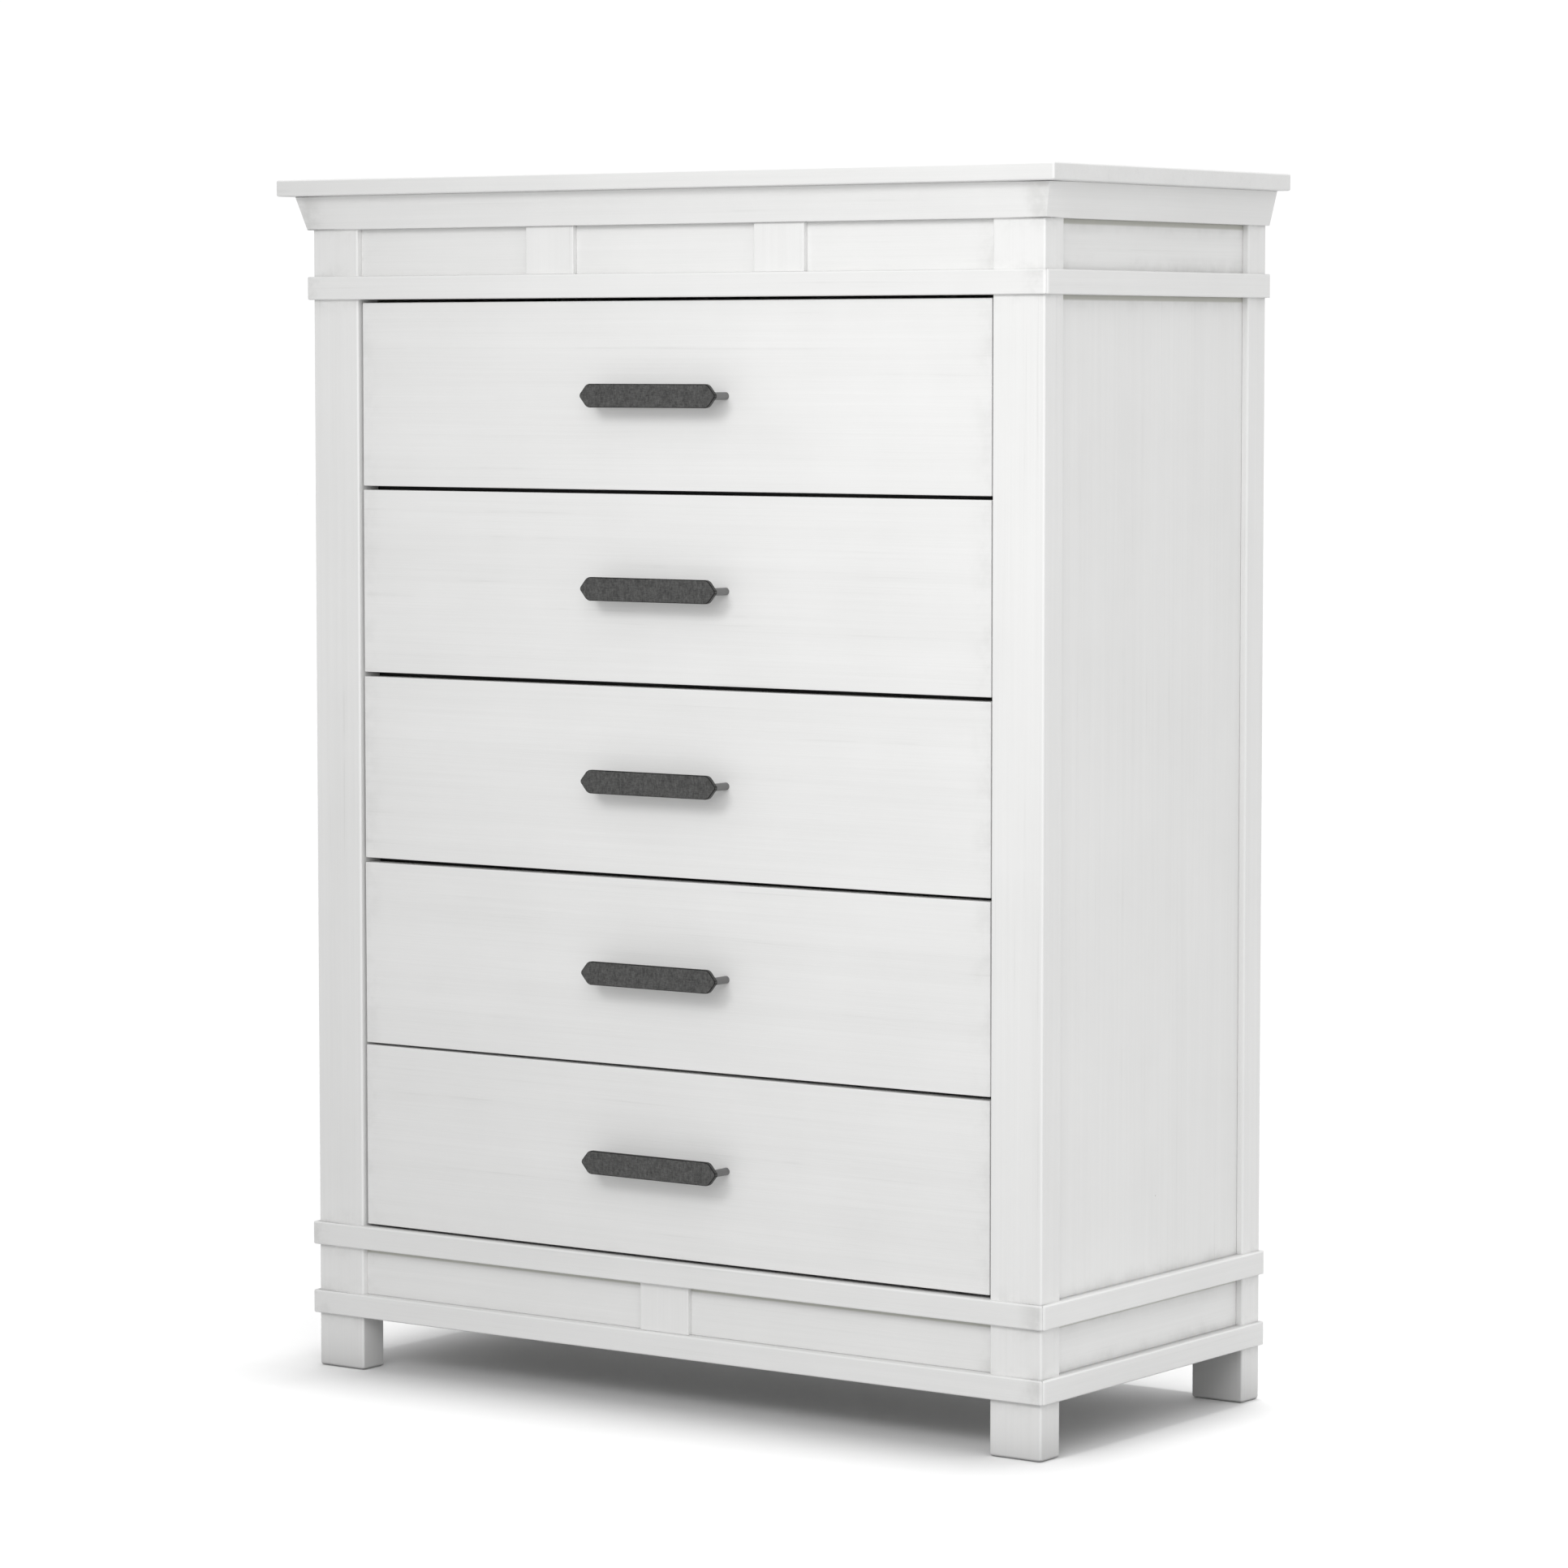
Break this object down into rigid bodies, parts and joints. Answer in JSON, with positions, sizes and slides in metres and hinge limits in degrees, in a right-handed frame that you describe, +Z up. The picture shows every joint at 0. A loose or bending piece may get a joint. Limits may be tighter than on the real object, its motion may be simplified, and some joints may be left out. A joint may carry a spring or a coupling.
{
  "type": "tall chest of drawers",
  "caption": "Tall white painted chest of drawers with a splayed cornice, banded mouldings, recessed side panels, square legs, dark bar pulls and sliding drawers.",
  "frame": {"origin": "on the floor, under the middle of the top panel's outline, which is the middle of the whole footprint", "axes": "+X to the right as seen from the front, +Y towards the back, +Z up; the drawers open along -Y"},
  "size_m": [1.003, 0.458, 1.3],
  "materials": {
    "white_paint": "brushed satin white paint over wood, with the grain showing faintly through it",
    "clear_wood": "clear satin lacquer on pale birch",
    "thin_hardboard": "smooth thin fibreboard",
    "dark_pewter": "mottled dark pewter, softly brushed"
  },
  "bodies": {
    "case": {"top_panel": "white_paint", "cornice_front": "white_paint", "cornice_left": "white_paint", "cornice_right": "white_paint", "frieze_board": "white_paint", "frieze_block_left": "white_paint", "frieze_block_right": "white_paint", "upper_belt_front": "white_paint", "upper_belt_left": "white_paint", "upper_belt_right": "white_paint", "lower_belt_front": "white_paint", "lower_belt_left": "white_paint", "lower_belt_right": "white_paint", "base_belt_front": "white_paint", "base_belt_left": "white_paint", "base_belt_right": "white_paint", "plinth_board": "white_paint", "plinth_block": "white_paint", "post_front_left": "white_paint", "post_front_right": "white_paint", "post_back_left": "white_paint", "post_back_right": "white_paint", "side_panel_left": "white_paint", "side_panel_right": "white_paint", "back_panel": "white_paint", "drawer_divider_1": "clear_wood", "drawer_divider_2": "clear_wood", "drawer_divider_3": "clear_wood", "drawer_divider_4": "clear_wood", "case_bottom": "clear_wood"},
    "drawer_1": {"drawer_1_front": "white_paint", "drawer_1_side_left": "clear_wood", "drawer_1_side_right": "clear_wood", "drawer_1_back": "clear_wood", "drawer_1_bottom": "thin_hardboard", "drawer_1_pull": "dark_pewter"},
    "drawer_2": {"drawer_2_front": "white_paint", "drawer_2_side_left": "clear_wood", "drawer_2_side_right": "clear_wood", "drawer_2_back": "clear_wood", "drawer_2_bottom": "thin_hardboard", "drawer_2_pull": "dark_pewter"},
    "drawer_3": {"drawer_3_front": "white_paint", "drawer_3_side_left": "clear_wood", "drawer_3_side_right": "clear_wood", "drawer_3_back": "clear_wood", "drawer_3_bottom": "thin_hardboard", "drawer_3_pull": "dark_pewter"},
    "drawer_4": {"drawer_4_front": "white_paint", "drawer_4_side_left": "clear_wood", "drawer_4_side_right": "clear_wood", "drawer_4_back": "clear_wood", "drawer_4_bottom": "thin_hardboard", "drawer_4_pull": "dark_pewter"},
    "drawer_5": {"drawer_5_front": "white_paint", "drawer_5_side_left": "clear_wood", "drawer_5_side_right": "clear_wood", "drawer_5_back": "clear_wood", "drawer_5_bottom": "thin_hardboard", "drawer_5_pull": "dark_pewter"}
  },
  "joints": [
    {"name": "drawer_1_slide", "type": "slide", "parent": "case", "child": "drawer_1", "axis": [0, -1, 0], "range_m": [0, 0.28]},
    {"name": "drawer_2_slide", "type": "slide", "parent": "case", "child": "drawer_2", "axis": [0, -1, 0], "range_m": [0, 0.28]},
    {"name": "drawer_3_slide", "type": "slide", "parent": "case", "child": "drawer_3", "axis": [0, -1, 0], "range_m": [0, 0.28]},
    {"name": "drawer_4_slide", "type": "slide", "parent": "case", "child": "drawer_4", "axis": [0, -1, 0], "range_m": [0, 0.28]},
    {"name": "drawer_5_slide", "type": "slide", "parent": "case", "child": "drawer_5", "axis": [0, -1, 0], "range_m": [0, 0.28]}
  ]
}
